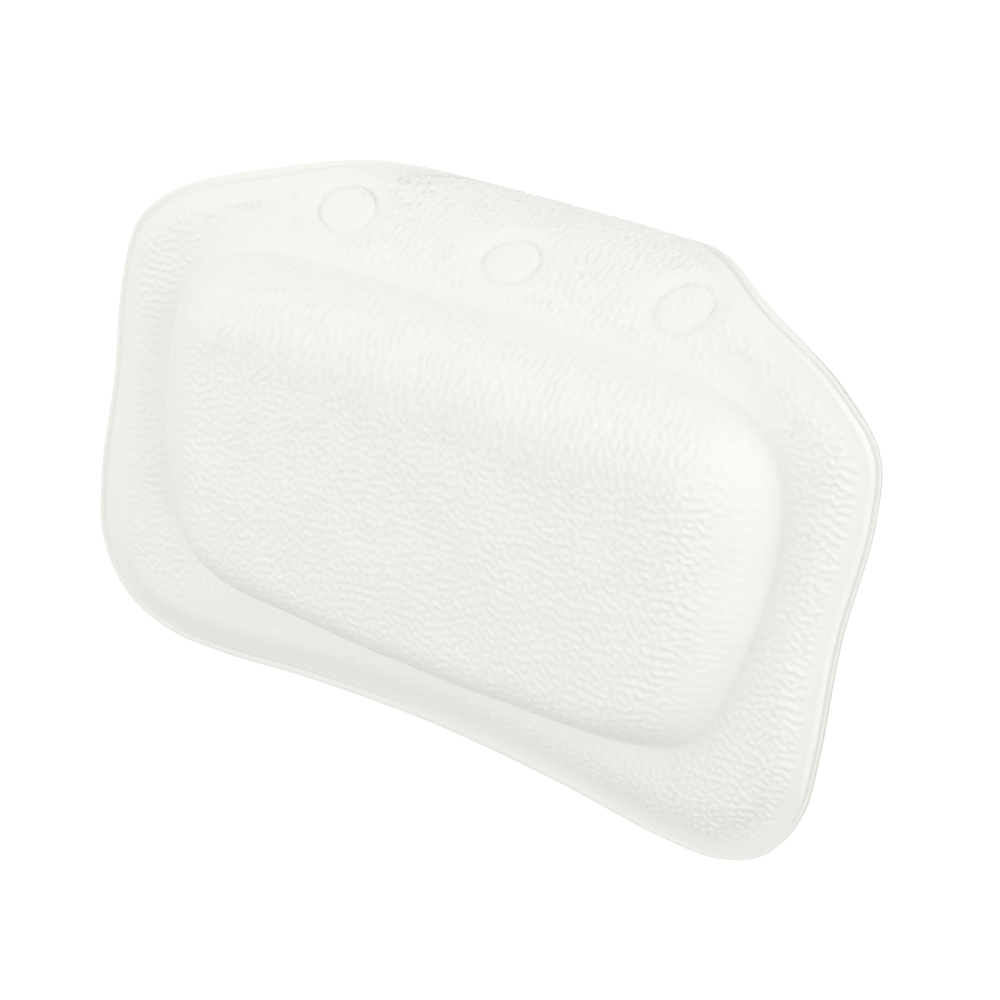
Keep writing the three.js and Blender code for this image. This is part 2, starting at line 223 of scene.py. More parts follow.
def inside_distance(loop):
    """The distance to a loop, above zero inside it."""
    pitch = 1.0
    x, s = np.meshgrid(np.arange(*GRID_X, pitch), np.arange(*GRID_S, pitch), indexing="ij")
    nearest = np.full(x.shape, np.inf)
    ends = np.roll(loop, -1, axis=0)
    for (x1, s1), (x2, s2) in zip(loop, ends):
        dx, ds = x2 - x1, s2 - s1
        share = np.clip(((x - x1) * dx + (s - s1) * ds) / (dx ** 2 + ds ** 2), 0, 1)
        nearest = np.minimum(nearest, (x - x1 - share * dx) ** 2 + (s - s1 - share * ds) ** 2)
    inside = np.hypot(x, s) < loop_radius(loop)(x, s)
    return on_grid(np.where(inside, 1, -1) * np.sqrt(nearest), GRID_X[0], GRID_S[0], pitch)


def flange_loop(count):
    return smooth_loop(FLANGE_OUTLINE, FLANGE_HALF_WIDTH, FLANGE_TOP, FLANGE_BOTTOM, count)


def pad_loop(count):
    return smooth_loop(PAD_OUTLINE, PAD_HALF_WIDTH, PAD_TOP, PAD_BOTTOM, count)


crease_radius = loop_radius(pad_loop(2000))
inside_crease = inside_distance(pad_loop(300))
inside_rim = inside_distance(flange_loop(360))


# Heights over the weld between the covers

# The welded rim, narrower at the right end, and the groove where the flange rises from it
RIM_HEIGHT = GAP + FRONT_SKIN
RIM_ROUND = 0.55
RIM_TRIM = 1.6
TRIM_SPAN = (90, 140)
GROOVE_DEPTH = 0.75
GROOVE_WIDTH = 0.9
SHOULDER_REACH = 2.2

# The flange's fall towards its rim, greater below the pad and most at the lower right
ROLL_START = 4
ROLL_WIDTH = 17
SHOULDER_DROP = 2.8
LOWER_DROP = 2.4
LOWER_ROLL = 8
LOWER_FLANGE_SPAN = (50, 85)
LOWER_RIGHT_SPAN = (-90, 30)
LOWER_LEFT_SHARE = 0.25

# The pad's wall, steeper at the bottom, and the crease at its foot
WALL_INNER_POWER = 2.2
WALL_OUTER_POWER = 1.12
LOWER_SHOULDER_LESS = 7
LOWER_SHOULDER_SPAN = (20, 60)
CREASE_DEPTH = 4.3
CREASE_WIDTH = 8
CREASE_ROUND = 0.6

# Each weld ring, the dish round it and the dome inside it
RING_BASE = 2.2
RING_ROUND = 0.9
DISH_REACH = 10
DISH_WIDTH = 2.6
DOME_EDGE_RISE = 1.7
DOME_EDGE_WIDTH = 2.8
DOME_CROWN = 0.6


def open_front_height(x, s, inset):
    inwards = inside_crease(x, s)
    rounded = CREASE_ROUND * np.logaddexp(0, inwards / CREASE_ROUND)
    shoulder = PAD_SHOULDER_WIDTH - LOWER_SHOULDER_LESS * smoothstep(-s, *LOWER_SHOULDER_SPAN)
    wall = 1 - np.clip(rounded / shoulder, 0, 1)
    crown_share = (1 - wall ** WALL_INNER_POWER) ** WALL_OUTER_POWER
    crown = (PAD_CROWN + CREASE_DEPTH) * crown_share - CREASE_DEPTH
    outwards = np.hypot(np.minimum(inwards, 0), CREASE_ROUND) - CREASE_ROUND
    crease = CREASE_DEPTH * (1 - np.exp(-outwards / CREASE_WIDTH))
    to_right = LOWER_LEFT_SHARE + (1 - LOWER_LEFT_SHARE) * smoothstep(x, *LOWER_RIGHT_SPAN)
    lower = smoothstep(-s, *LOWER_FLANGE_SPAN) * to_right
    roll_end = ROLL_WIDTH + LOWER_ROLL * lower
    roll = (SHOULDER_DROP + LOWER_DROP * lower) * (1 - smoothstep(inset, ROLL_START, roll_end))
    puffy = FLANGE_THICKNESS + crown + crease - roll
    rim = RIM_WIDTH - RIM_TRIM * smoothstep(x, *TRIM_SPAN)
    fall = 1 - np.sqrt(smoothstep(inset, rim, rim + SHOULDER_REACH))
    groove = GROOVE_DEPTH * bell_curve(inset - rim, GROOVE_WIDTH)
    edge = np.clip(1 - inset / RIM_ROUND, 0, 1)
    rounding = RIM_ROUND * (1 - np.sqrt(1 - edge ** 2))
    return puffy * (1 - fall) + RIM_HEIGHT * fall - groove - rounding


def front_height(x, s, inset):
    distance = cup_distance(x, s)
    from_ring = np.hypot(distance - WELD_RING_RADIUS, RING_ROUND) - RING_ROUND
    wide_dish = (1 - np.clip(from_ring / DISH_REACH, 0, 1)) ** 2
    steep_dish = np.exp(-from_ring / DISH_WIDTH)
    sunk = (wide_dish + steep_dish) / 2
    outside = open_front_height(x, s, inset) * (1 - sunk) + RING_BASE * sunk
    share = 1 - np.clip(from_ring / WELD_RING_RADIUS, 0, 1)
    edge = np.clip(from_ring / DOME_EDGE_WIDTH, 0, 1)
    dome = RING_BASE + DOME_EDGE_RISE * (1 - (1 - edge) ** 2) + DOME_CROWN * (1 - share ** 2)
    return np.where(distance < WELD_RING_RADIUS, dome, outside)


def skin_underside(x, s, inset):
    return np.maximum(GAP, front_height(x, s, inset) - FRONT_SKIN)


# The grain: crepe wrinkles, as strokes of band-passed noise in several directions

NOISE_PITCH = 0.3
NOISE_LEAST_SPREAD = 0.1
STROKE_WIDTH = 3.7
STROKE_LENGTH = 3.4
STROKE_BAND = 0.4
# Strokes are made equally strong over this width, and swells over so many times their own width
EVEN_WIDTH = 14
SWELL_EVEN_SHARE = 8
SWELL_BAND = 0.5
STROKE_ANGLES = [math.radians(angle) for angle in (0, 45, 90, 135)]


def noise_field(seed, spectrum, even_width):
    """Noise over the pattern with a given spectrum, and with a spread of 1 over each even_width."""
    shape = [int((high - low) / NOISE_PITCH) for low, high in (GRID_X, GRID_S)]
    white = np.random.default_rng(seed).standard_normal(shape)
    waves = [np.fft.fftfreq(count, NOISE_PITCH) for count in shape]
    across, along = np.meshgrid(*waves, indexing="ij")
    values = np.fft.ifft2(np.fft.fft2(white) * spectrum(across, along)).real
    values = values / values.std()
    blur = bell_curve(np.hypot(across, along), 1 / even_width)
    square = np.fft.ifft2(np.fft.fft2(values ** 2) * blur).real
    values = values / np.sqrt(np.maximum(NOISE_LEAST_SPREAD, square))
    return on_grid(values, GRID_X[0], GRID_S[0], NOISE_PITCH)


def swell_field(seed, width):
    def spectrum(across, along):
        return bell_curve(np.hypot(across, along) * width - 1, SWELL_BAND)
    return noise_field(seed, spectrum, SWELL_EVEN_SHARE * width)


def stroke_field(seed, angle):
    def spectrum(across, along):
        square = along * math.cos(angle) - across * math.sin(angle)
        level = across * math.cos(angle) + along * math.sin(angle)
        band = bell_curve(np.abs(square) * STROKE_WIDTH - 1, STROKE_BAND)
        return band * bell_curve(level, 1 / STROKE_LENGTH)
    return noise_field(seed, spectrum, EVEN_WIDTH)


FIRST_STROKE_SEED = 20
strokes = [stroke_field(FIRST_STROKE_SEED + number, angle)
           for number, angle in enumerate(STROKE_ANGLES)]
swells = swell_field(seed=33, width=43)
patches = swell_field(seed=34, width=23)

GRAIN_HEIGHT = 0.28
GRAIN_START = (5.5, 10.5)
GRAIN_FLATTENING = 0.9
GRAIN_SINK = 0.1
PATCH_SHARE = 0.05
PATCH_LIMITS = (0.85, 1.1)
SWELL_HEIGHT = 0.28
SWELL_START = (10, 24)
SWELL_RING_RADIUS = 20

# How strongly the strokes run square to the crease, and along and across the pad's middle
CORNER_SPAN = (30, 8)
FOLD_SPAN = (12, 48)
MIDDLE_SPAN = (12, 34)
LEAST_PULL = 0.1
MORE_PULL = 0.55
LEAST_WEAVE = 0.7
MORE_WEAVE = 1.5


def grain(x, s, inset):
    """How deep the grain is at a point, from 0 where forming has stretched it smooth."""
    crease, ring = inside_crease(x, s), cup_distance(x, s)
    on_pad = smoothstep(crease, 0, 1.5)
    # By what share the grain is deeper or fainter, and where
    regions = [
        # fainter in the crease, and at the pad's right and left ends
        (-0.85, bell_curve(crease, 4.5)),
        (-0.6, smoothstep(x, 90, 116) * (1 - smoothstep(crease, 10, 26)) * on_pad),
        (-0.93, smoothstep(-x, 90, 114) * (1 - smoothstep(crease, 14, 34)) * on_pad),
        # fainter on the left flange, and on the lower flange from its middle to the left
        (-0.6, smoothstep(-x, 126, 150) * smoothstep(-s, -70, 0)),
        (-0.65, smoothstep(-x, -60, 30) * smoothstep(-s, 70, 90)),
        # fainter in the dish round each weld ring, and on the dome inside it
        (-0.8, bell_curve(ring - 13, 3)),
        (-0.6, smoothstep(ring, 12, 9)),
        # deeper towards the right, most of all at the lower right corner
        (0.2, x / PAD_HALF_WIDTH),
        (0.3, smoothstep(x, 70, 130) * smoothstep(-s, 40, 80)),
        # deeper over the fold, and fainter at its two ends
        (0.25, smoothstep(s, 20, 60)),
        (-0.45, smoothstep(np.abs(x), 70, 100) * smoothstep(s, 55, 75)),
    ]
    for cup in CUPS.values():
        # fainter in a spot at the left of each weld ring
        spot = np.hypot(x - cup["x"] + 19, s - CUP_LINE - 3)
        regions.append((-0.75, bell_curve(spot, 7)))
    depth = smoothstep(inset, *GRAIN_START)
    for share, where in regions:
        depth = depth * (1 + share * where)
    return depth * np.clip(1 + PATCH_SHARE * patches(x, s), *PATCH_LIMITS)


def grain_height(x, s):
    """The grain's rise and fall. Its strokes run square to the crease over the fold and at the
    pad's corners, and as a square weave in the pad's middle."""
    crease = inside_crease(x, s)
    across = inside_crease(x - 1, s) - inside_crease(x + 1, s)
    along = inside_crease(x, s - 1) - inside_crease(x, s + 1)
    radial = np.arctan2(along, across)
    corner = np.abs(np.sin(2 * radial)) * smoothstep(crease, *CORNER_SPAN)
    fold = smoothstep(s, *FOLD_SPAN)
    pull = LEAST_PULL + MORE_PULL * np.maximum(fold, corner)
    inner = smoothstep(crease, *MIDDLE_SPAN) * (1 - fold)
    total, square = 0, 0
    for field, angle in zip(strokes, STROKE_ANGLES):
        along_crease = pull * (1 - inner) * np.cos(2 * (angle - radial))
        along_pad = (LEAST_WEAVE + MORE_WEAVE * inner) * math.cos(4 * angle)
        weight = np.exp(along_crease + along_pad)
        total = total + weight * field(x, s)
        square = square + weight ** 2
    return np.tanh(GRAIN_FLATTENING * (total / np.sqrt(square) - GRAIN_SINK)) / GRAIN_FLATTENING


# Meshes over the pattern

def side_numbers(i, j, rings):
    """The number of the loop's point level with each grid point, on each of the four sides."""
    return j + rings, 3 * rings - i, 5 * rings - j, 7 * rings + i


def patch_points(loop, i, j, rings):
    """A square grid's points over a loop, each side of the square on a quarter of the loop."""
    right, top, left, bottom = (loop[number % len(loop)] for number in side_numbers(i, j, rings))
    u, v = ((axis[:, None] + rings) / (2 * rings) for axis in (i, j))
    lower_right, upper_right, upper_left, lower_left = loop[::2 * rings]
    lower = lower_left * (1 - u) + lower_right * u
    upper = upper_left * (1 - u) + upper_right * u
    return left * (1 - u) + right * u + (bottom - lower) * (1 - v) + (top - upper) * v


def pattern_grid(rim, insets, rings):
    """Points and quads over a loop: rows at each inset from it, then a square grid."""
    count = 8 * rings
    side = np.arange(-rings, rings + 1)
    i, j = (axis.ravel() for axis in np.meshgrid(side, side, indexing="ij"))
    grid = patch_points(inset_loop(rim, insets[-1]), i, j, rings)
    rows = [inset_loop(rim, inset) for inset in insets[:-1]]
    first = len(rows) * count
    number = first + np.arange(len(grid)).reshape(len(side), len(side))
    cells = [number[:-1, :-1], number[1:, :-1], number[1:, 1:], number[:-1, 1:]]
    quads = [np.stack(cells, -1).reshape(-1, 4)]
    # The square's border, in the order of the loop's points
    *places, at_bottom = side_numbers(i, j, rings)
    sides = [(i == rings) & (j < rings), (j == rings) & (i > -rings), (i == -rings) & (j > -rings)]
    place = np.select(sides, places, at_bottom)
    border = np.flatnonzero(np.maximum(np.abs(i), np.abs(j)) == rings)
    border = first + border[np.argsort(place[border])]
    loops = [np.arange(count) + row * count for row in range(len(rows))] + [border]
    for outer, inner in zip(loops, loops[1:]):
        quads.append(np.stack([outer, np.roll(outer, -1), np.roll(inner, -1), inner], -1))
    return np.vstack([*rows, grid]), np.vstack(quads), loops[0]


def open_holes(points, quads, radius):
    """Leave out the quads over each cup's neck or ring, and draw their border to its circle."""
    distance = cup_distance(points[:, 0], points[:, 1])
    kept = quads[cup_distance(*points[quads].mean(axis=1).T) > radius]
    edge = border_edges(kept)
    rim = np.zeros(len(points), bool)
    rim[edge.ravel()] = True
    reach = radius * 1.5 + 2
    near = (distance < reach) & (rim | (distance < radius))
    for cup in CUPS.values():
        offset = points - (cup["x"], CUP_LINE)
        length = np.hypot(*offset.T)
        mine = near & (length < reach)
        stretch = radius / np.maximum(length[mine], 0.01)
        points[mine] = (cup["x"], CUP_LINE) + offset[mine] * stretch[:, None]
    return points, kept


def border_edges(faces):
    """The edges that only one of the faces has, in that face's direction."""
    edges = np.stack([faces, np.roll(faces, -1, axis=1)], -1).reshape(-1, 2)
    size = int(edges.max()) + 1
    names, turned = edges[:, 0] * size + edges[:, 1], edges[:, 1] * size + edges[:, 0]
    return edges[~np.isin(names, turned)]


def make_piece(name, points, quads, triangles, material):
    """An object with these faces, and the numbers of the points that they use."""
    mesh = bpy.data.meshes.new(name)
    corners = np.concatenate([quads.ravel(), triangles.ravel()]).astype(int)
    used = np.unique(corners)
    place = np.zeros(len(points), int)
    place[used] = np.arange(len(used))
    starts = np.concatenate([np.arange(0, quads.size, 4), np.arange(quads.size, len(corners), 3)])
    mesh.vertices.add(len(used))
    mesh.loops.add(len(corners))
    mesh.polygons.add(len(starts))
    mesh.vertices.foreach_set("co", (points[used] * METRES).astype(np.float32).ravel())
    mesh.loops.foreach_set("vertex_index", place[corners].astype(np.int32))
    mesh.polygons.foreach_set("loop_start", starts.astype(np.int32))
    mesh.update(calc_edges=True)
    mesh.polygons.foreach_set("use_smooth", np.ones(len(starts), bool))
    mesh.materials.append(material)
    piece = bpy.data.objects.new(name, mesh)
    bpy.context.scene.collection.objects.link(piece)
    return piece, used


def lay_pattern(piece, used, pattern):
    """Give a piece the flat pattern as its UV map, in metres, so its finish follows the sheet."""
    corners = np.empty(len(piece.data.loops), np.int32)
    piece.data.loops.foreach_get("vertex_index", corners)
    uv = piece.data.uv_layers.new(name="pattern")
    uv.data.foreach_set("uv", (pattern[used][corners] * METRES).astype(np.float32).ravel())


NO_TRIANGLES = np.zeros((0, 3), int)


def make_layer(name, rim, insets, rings, top_height, bottom_height, material, hole_radius=None):
    """A closed sheet or slab between two heights, with a wall along its edge and its holes."""
    pattern, quads, _ = pattern_grid(rim, insets, rings)
    if hole_radius:
        pattern, quads = open_holes(pattern, quads, hole_radius)
    x, s = pattern.T
    inset = np.maximum(inside_rim(x, s), 0)
    top = sheet_point(x, s, top_height(x, s, inset))
    bottom = sheet_point(x, s, bottom_height(x, s, inset))
    under = len(pattern)
    edge = border_edges(quads)
    wall = np.stack([edge[:, 1], edge[:, 0], edge[:, 0] + under, edge[:, 1] + under], -1)
    faces = np.vstack([quads, quads[:, ::-1] + under, wall])
    piece, used = make_piece(name, np.vstack([top, bottom]), faces, NO_TRIANGLES, material)
    lay_pattern(piece, used, np.vstack([pattern, pattern]))
    return piece


# Materials

def srgb(text):
    """A hex colour as written for the screen, turned to linear."""
    values = [int(text[start:start + 2], 16) / 255 for start in (1, 3, 5)]
    return (*[v / 12.92 if v <= 0.04045 else ((v + 0.055) / 1.055) ** 2.4 for v in values], 1)


def add_node(tree, kind, inputs=None, **settings):
    """Add a node with its settings, and set or link its inputs."""
    node = tree.nodes.new(kind)
    for name, value in settings.items():
        setattr(node, name, value)
    for socket, value in (inputs or {}).items():
        if isinstance(value, bpy.types.NodeSocket):
            tree.links.new(value, node.inputs[socket])
        else:
            node.inputs[socket].default_value = value
    return node


def new_material(name):
    material = bpy.data.materials.new(name)
    material.use_nodes = True
    material.node_tree.nodes.clear()
    return material, material.node_tree


def finish_material(material, tree, shader):
    add_node(tree, "ShaderNodeOutputMaterial", {"Surface": shader.outputs[0]})
    return material


def foamed_vinyl():
    """Foamed PVC film, embossed with a crepe grain and vacuum-formed: off-white and satin. The
    grain's hollows are painted a little greyer as painted shade, and fine pores break up its soft
    sheen."""
    material, tree = new_material("foamed_vinyl_crepe")
    pattern = add_node(tree, "ShaderNodeUVMap", uv_map="pattern").outputs["UV"]
    grain_rise = add_node(tree, "ShaderNodeAttribute", attribute_name="grain_rise").outputs["Fac"]
    clouds = add_node(tree, "ShaderNodeTexNoise", {"Vector": pattern, "Scale": 26.0, "Detail": 2.0})
    # Painted shade: the grain's hollows are painted greyer, following the grain's rise
    hollow_shade = add_node(tree, "ShaderNodeMapRange", {
        "Value": grain_rise, "From Min": -1.0, "From Max": 0.6})
    body = add_node(tree, "ShaderNodeMix", {
        0: clouds.outputs["Fac"], 6: srgb("#F3F2EE"), 7: srgb("#F1F0EB")}, data_type="RGBA")
    colour = add_node(tree, "ShaderNodeMix", {
        0: hollow_shade.outputs["Result"], 6: srgb("#F0EFEA"), 7: body.outputs[2]}, data_type="RGBA")
    # Pores of about 0.5 mm and threads of about 1 mm, under the grain that the mesh carries
    pores, threads = (add_node(tree, "ShaderNodeTexNoise", {
        "Vector": pattern, "Scale": scale, "Detail": detail})
        for scale, detail in ((1900.0, 2.0), (900.0, 3.0)))
    relief = add_node(tree, "ShaderNodeMath", {
        0: pores.outputs["Fac"], 1: threads.outputs["Fac"]}, operation="ADD")
    bump = add_node(tree, "ShaderNodeBump", {
        "Height": relief.outputs[0], "Strength": 0.35, "Distance": 0.00012})
    rough = add_node(tree, "ShaderNodeMapRange", {
        "Value": pores.outputs["Fac"], "To Min": 0.5, "To Max": 0.62})
    shader = add_node(tree, "ShaderNodeBsdfPrincipled", {
        "Base Color": colour.outputs[2], "Roughness": rough.outputs["Result"], "IOR": 1.48,
        "Normal": bump.outputs["Normal"], "Sheen Weight": 0.06, "Sheen Roughness": 0.5})
    return finish_material(material, tree, shader)


def plain_vinyl():
    """Calendered PVC sheet, smooth and thin: off-white, a little glossier than the front, with
    faint roll marks."""
    material, tree = new_material("calendered_vinyl_sheet")
    pattern = add_node(tree, "ShaderNodeUVMap", uv_map="pattern").outputs["UV"]
    stretched = add_node(tree, "ShaderNodeMapping", {
        "Vector": pattern, "Scale": (40.0, 420.0, 1.0)})
    marks = add_node(tree, "ShaderNodeTexNoise", {
        "Vector": stretched.outputs[0], "Scale": 1.0, "Detail": 3.0})
    skin = add_node(tree, "ShaderNodeTexNoise", {"Vector": pattern, "Scale": 700.0, "Detail": 2.0})
    colour = add_node(tree, "ShaderNodeMix", {
        0: marks.outputs["Fac"], 6: srgb("#EDECE5"), 7: srgb("#F1F0EA")}, data_type="RGBA")
    rough = add_node(tree, "ShaderNodeMapRange", {
        "Value": marks.outputs["Fac"], "To Min": 0.34, "To Max": 0.48})
    bump = add_node(tree, "ShaderNodeBump", {
        "Height": skin.outputs["Fac"], "Strength": 0.25, "Distance": 0.00008})
    shader = add_node(tree, "ShaderNodeBsdfPrincipled", {
        "Base Color": colour.outputs[2], "Roughness": rough.outputs["Result"], "IOR": 1.52,
        "Normal": bump.outputs["Normal"]})
    return finish_material(material, tree, shader)


def cushion_foam():
    """Flexible polyurethane foam, cut from a block: cream, matt, with open cells of about 1 mm,
    whose pits are painted darker as painted shade.
    """
    material, tree = new_material("polyurethane_foam")
    place = add_node(tree, "ShaderNodeTexCoord").outputs["Object"]
    cells = add_node(tree, "ShaderNodeTexVoronoi", {"Vector": place, "Scale": 900.0}, feature="F1")
    clouds = add_node(tree, "ShaderNodeTexNoise", {"Vector": place, "Scale": 60.0, "Detail": 3.0})
    # Painted shade: each cell's pit, where the bump sinks, is painted a darker cream
    depth = add_node(tree, "ShaderNodeMapRange", {
        "Value": cells.outputs["Distance"], "From Max": 0.7})
    body = add_node(tree, "ShaderNodeMix", {
        0: clouds.outputs["Fac"], 6: srgb("#EFE4C6"), 7: srgb("#F5ECD4")}, data_type="RGBA")
    colour = add_node(tree, "ShaderNodeMix", {
        0: depth.outputs["Result"], 6: srgb("#D8CAA4"), 7: body.outputs[2]}, data_type="RGBA")
    bump = add_node(tree, "ShaderNodeBump", {
        "Height": cells.outputs["Distance"], "Strength": 0.7, "Distance": 0.0004})
    shader = add_node(tree, "ShaderNodeBsdfPrincipled", {
        "Base Color": colour.outputs[2], "Roughness": 0.95, "Normal": bump.outputs["Normal"],
        "Sheen Weight": 0.2})
    return finish_material(material, tree, shader)


def clear_soft_vinyl():
    """Plasticised PVC, injection-moulded: clear with a faint cold tint, glossy, and cloudier
    where flow marks cross it."""
    material, tree = new_material("clear_soft_vinyl")
    place = add_node(tree, "ShaderNodeTexCoord").outputs["Object"]
    flow = add_node(tree, "ShaderNodeTexNoise", {"Vector": place, "Scale": 180.0, "Detail": 3.0})
    colour = add_node(tree, "ShaderNodeMix", {
        0: flow.outputs["Fac"], 6: srgb("#DCE7E8"), 7: srgb("#F0F5F4")}, data_type="RGBA")
    rough = add_node(tree, "ShaderNodeMapRange", {
        "Value": flow.outputs["Fac"], "To Min": 0.08, "To Max": 0.2})
    bump = add_node(tree, "ShaderNodeBump", {
        "Height": flow.outputs["Fac"], "Strength": 0.1, "Distance": 0.0002})
    shader = add_node(tree, "ShaderNodeBsdfPrincipled", {
        "Base Color": colour.outputs[2], "Roughness": rough.outputs["Result"], "IOR": 1.53,
        "Transmission Weight": 0.7, "Normal": bump.outputs["Normal"]})
    return finish_material(material, tree, shader)


front_vinyl = foamed_vinyl()
back_vinyl = plain_vinyl()
foam = cushion_foam()
cup_vinyl = clear_soft_vinyl()


# The front cover: a fine grained face, and a coarser inner face that the foam hides

FACE_INSETS = [0, 0.06, 0.16, 0.3, 0.55, 1, 1.6, 2.2, 2.8, 3.3, 3.7, 4.1, 4.5, 4.9, 5.3, 5.7,
               6.2, 6.7, 7.3, 7.9, 8.6, 9.4, 10.3, 11.3, 12.3, 13.3]
INNER_INSETS = [0.3, 2.2, 4, 5.3, 6.7, 8.2, 10, 13.3]


def make_front_cover():
    face, face_quads, face_edge = pattern_grid(flange_loop(8 * FINE_RINGS), FACE_INSETS, FINE_RINGS)
    inner, inner_quads, inner_edge = pattern_grid(
        flange_loop(8 * COARSE_RINGS), INNER_INSETS, COARSE_RINGS)
    x, s = face.T
    inset = np.maximum(inside_rim(x, s), 0)
    for row, value in enumerate(FACE_INSETS[:-1]):
        inset[row * 8 * FINE_RINGS:(row + 1) * 8 * FINE_RINGS] = value
    depth, rise = grain(x, s, inset), grain_height(x, s)
    off_rings = 1 - bell_curve(cup_distance(x, s), SWELL_RING_RADIUS)
    swell = SWELL_HEIGHT * np.tanh(swells(x, s)) * smoothstep(inset, *SWELL_START) * off_rings
    height = front_height(x, s, inset) + GRAIN_HEIGHT * depth * rise + swell
    outer = sheet_point(x, s, height)
    inner_x, inner_s = inner.T
    inner_inset = np.maximum(inside_rim(inner_x, inner_s), 0)
    under = sheet_point(inner_x, inner_s, skin_underside(inner_x, inner_s, inner_inset))
    first = len(face)
    coarse, fine = inner_edge + first, face_edge.reshape(-1, FINE_PER_COARSE)
    next_coarse, next_fine = np.roll(coarse, -1), np.roll(fine[:, 0], -1)
    wall = np.vstack([np.stack(corners, -1) for corners in (
        (coarse, fine[:, 1], fine[:, 0]), (coarse, fine[:, 2], fine[:, 1]),
        (coarse, next_coarse, fine[:, 2]), (next_coarse, fine[:, 3], fine[:, 2]),
        (next_coarse, next_fine, fine[:, 3]))])
    faces = np.vstack([face_quads, inner_quads[:, ::-1] + first])
    points = np.vstack([outer, under])
    piece, used = make_piece("formed_front_cover", points, faces, wall, front_vinyl)
    lay_pattern(piece, used, np.vstack([face, inner]))
    # The grain's rise, which the front's material reads to paint shade into the grain's hollows
    shown = np.concatenate([depth * rise, np.zeros(len(inner))])[used]
    attribute = piece.data.attributes.new("grain_rise", "FLOAT", "POINT")
    attribute.data.foreach_set("value", shown.astype(np.float32))
    return piece


front_cover = make_front_cover()
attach(front_cover, "pillow")
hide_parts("front_cover")


# The back cover, a thin sheet with a hole for each cup's neck

SHEET_RINGS = 110
SHEET_INSETS = [0, 0.3, 1, 2, 4]

back_cover = make_layer(
    "welded_back_cover", flange_loop(8 * SHEET_RINGS), SHEET_INSETS, SHEET_RINGS,
    lambda x, s, inset: 0 * x, lambda x, s, inset: 0 * x - BACK_SKIN, back_vinyl, HOLE_RADIUS)
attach(back_cover, "pillow")
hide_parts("back_cover")


# The foam: a layer under the whole skin, and a block under it that fills the pad's crown

FOAM_RINGS = 70
LAYER_INSET = 8.6
BLOCK_INSET = 4
BLOCK_EDGE_TOP = 1.8
BLOCK_RISE_SPAN = (6, 11.7)


def foam_top(x, s, inset):
    return skin_underside(x, s, inset) - GAP


def block_rise(x, s):
    return smoothstep(crease_radius(x, s) - np.hypot(x, s), *BLOCK_RISE_SPAN)


def foam_underside(x, s, inset):
    over_block = BLOCK_EDGE_TOP + GAP
    risen = over_block + (foam_top(x, s, inset) - FOAM_THICKNESS - over_block) * block_rise(x, s)
    return np.where(inside_crease(x, s) > BLOCK_INSET / 2, risen, GAP)


foam_layer = make_layer(
    "bonded_foam_layer", inset_loop(flange_loop(8 * FOAM_RINGS), LAYER_INSET), [0, 2, 5],
    FOAM_RINGS, foam_top, foam_underside, foam, FOAM_HOLE_RADIUS)
pad_foam = make_layer(
    "pad_foam_block", inset_loop(pad_loop(8 * FOAM_RINGS), BLOCK_INSET), [0, 1, 3],
    FOAM_RINGS, lambda x, s, inset: foam_underside(x, s, inset) - GAP,
    lambda x, s, inset: 0 * x + GAP, foam)
for piece, node in ((foam_layer, "foam_layer"), (pad_foam, "pad_foam")):
    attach(piece, "pillow")
    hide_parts(node)


# Turned pieces: each cup and the foam disc over its button

# Radius and height over the lip, from the middle of the bell's hollow round to the button
CUP_PROFILE = [
    (0, 7.5), (3, 7.42), (6, 6.98), (9, 6.05), (12, 4.65), (14.4, 3.2), (16.4, 1.65), (17.6, 0.62),
    (18.2, 0.08), (18.45, 0), (19.6, 0), (19.88, 0.12), (20, 0.4), (19.96, 0.72), (19.7, 0.95),
    (18.4, 1.85), (16.8, 3), (14.6, 4.7), (12.4, 6.38), (10.4, 7.9), (8.9, 8.95), (8, 9.6),
    (7.55, 10.15), (7.2, 10.75), (6.85, 10.95), (6.5, 11), (4.4, 11), (4.12, 11.08), (4, 11.3),
    (4, 12.2), (4.1, 12.36), (4.4, 12.4), (6.7, 12.4), (6.93, 12.5), (7, 12.7), (6.96, 13.1),
    (6.6, 13.42), (5.7, 13.7), (4, 13.8), (0, 13.8),
]
CUSHION_PROFILE = [
    (0, 14.1), (5.6, 14.1), (6.6, 13.9), (7.2, 13.5), (7.35, 13), (7.35, 12.4), (9.4, 12.4),
    (9.8, 12.5), (9.8, 13.7), (9.4, 14.05), (8.4, 14.3), (6.4, 14.7), (4.2, 14.98), (2, 15.12),
    (0, 15.16),
]
TURNED_SEGMENTS = 72
MERGE_DISTANCE = 0.01 * METRES


